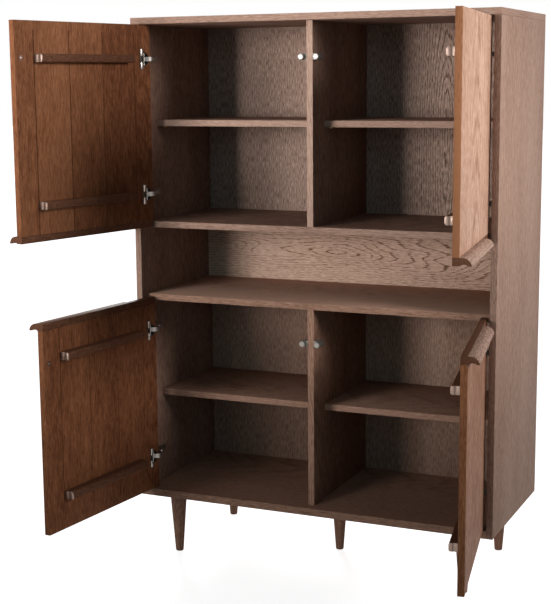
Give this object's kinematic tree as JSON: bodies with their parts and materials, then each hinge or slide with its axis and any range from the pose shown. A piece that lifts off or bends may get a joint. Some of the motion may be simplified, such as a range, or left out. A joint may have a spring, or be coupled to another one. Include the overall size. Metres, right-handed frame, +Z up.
{
  "type": "tall cabinet",
  "caption": "Tall wooden cabinet on turned legs, with paired doors above and below an open niche and a shelf behind each door.",
  "frame": {"origin": "on the floor, in the middle of the centre leg's foot", "axes": "+X to the right seen from the front, +Y to the back, +Z up"},
  "size_m": [1.1826, 0.8996, 1.468],
  "materials": {
    "carcass_veneer": "satin dark walnut veneer",
    "shelf_veneer": "satin dark walnut veneer",
    "back_veneer": "satin dark walnut veneer",
    "door_veneer": "satin dark walnut veneer",
    "rail_wood": "satin stained solid wood",
    "batten_wood": "satin stained solid wood",
    "leg_wood": "satin stained turned wood",
    "dowel_beech": "plain",
    "cap_metal": "polished",
    "strike_steel": "plain",
    "hinge_nickel": "nickel plated",
    "catch_nickel": "nickel plated",
    "pin_brass": "plain",
    "insert_brass": "plain",
    "screw_steel": "plain"
  },
  "bodies": {
    "carcass": {"bottom_panel": "carcass_veneer", "centre_leg": "leg_wood", "dowels": "dowel_beech", "front_left_leg": "leg_wood", "front_right_leg": "leg_wood", "hinge_mounting_plates": "hinge_nickel", "hinge_pins": "hinge_nickel", "hinge_plate_screws": "screw_steel", "left_side": "carcass_veneer", "leg_bolts": "screw_steel", "leg_inserts": "insert_brass", "lower_back": "back_veneer", "lower_left_hinge_arms": "hinge_nickel", "lower_left_shelf": "shelf_veneer", "lower_partition": "carcass_veneer", "lower_right_hinge_arms": "hinge_nickel", "lower_right_shelf": "shelf_veneer", "magnetic_catches": "catch_nickel", "niche_back": "back_veneer", "niche_floor": "carcass_veneer", "rear_left_leg": "leg_wood", "rear_right_leg": "leg_wood", "right_side": "carcass_veneer", "shelf_pins": "pin_brass", "top_panel": "carcass_veneer", "upper_back": "back_veneer", "upper_floor": "carcass_veneer", "upper_left_hinge_arms": "hinge_nickel", "upper_left_shelf": "shelf_veneer", "upper_partition": "carcass_veneer", "upper_right_hinge_arms": "hinge_nickel", "upper_right_shelf": "shelf_veneer"},
    "upper_left_door": {"upper_left_batten_caps": "cap_metal", "upper_left_bottom_batten": "batten_wood", "upper_left_catch_strike": "strike_steel", "upper_left_door_panel": "door_veneer", "upper_left_handle_rail": "rail_wood", "upper_left_hinge_cups": "hinge_nickel", "upper_left_top_batten": "batten_wood"},
    "upper_right_door": {"upper_right_batten_caps": "cap_metal", "upper_right_bottom_batten": "batten_wood", "upper_right_catch_strike": "strike_steel", "upper_right_door_panel": "door_veneer", "upper_right_handle_rail": "rail_wood", "upper_right_hinge_cups": "hinge_nickel", "upper_right_top_batten": "batten_wood"},
    "lower_left_door": {"lower_left_batten_caps": "cap_metal", "lower_left_bottom_batten": "batten_wood", "lower_left_catch_strike": "strike_steel", "lower_left_door_panel": "door_veneer", "lower_left_handle_rail": "rail_wood", "lower_left_hinge_cups": "hinge_nickel", "lower_left_top_batten": "batten_wood"},
    "lower_right_door": {"lower_right_batten_caps": "cap_metal", "lower_right_bottom_batten": "batten_wood", "lower_right_catch_strike": "strike_steel", "lower_right_door_panel": "door_veneer", "lower_right_handle_rail": "rail_wood", "lower_right_hinge_cups": "hinge_nickel", "lower_right_top_batten": "batten_wood"}
  },
  "joints": [
    {"name": "upper_left_door_hinge", "type": "hinge", "parent": "carcass", "child": "upper_left_door", "pos_m": [-0.4655, -0.227, 1.1825], "axis": [0, 0, -1], "range_deg": [-102.5, 4.5]},
    {"name": "upper_right_door_hinge", "type": "hinge", "parent": "carcass", "child": "upper_right_door", "pos_m": [0.4655, -0.227, 1.1825], "axis": [0, 0, 1], "range_deg": [-98, 9]},
    {"name": "lower_left_door_hinge", "type": "hinge", "parent": "carcass", "child": "lower_left_door", "pos_m": [-0.4655, -0.227, 0.457], "axis": [0, 0, -1], "range_deg": [-95.5, 11.5]},
    {"name": "lower_right_door_hinge", "type": "hinge", "parent": "carcass", "child": "lower_right_door", "pos_m": [0.4655, -0.227, 0.457], "axis": [0, 0, 1], "range_deg": [-100.5, 6.5]}
  ]
}
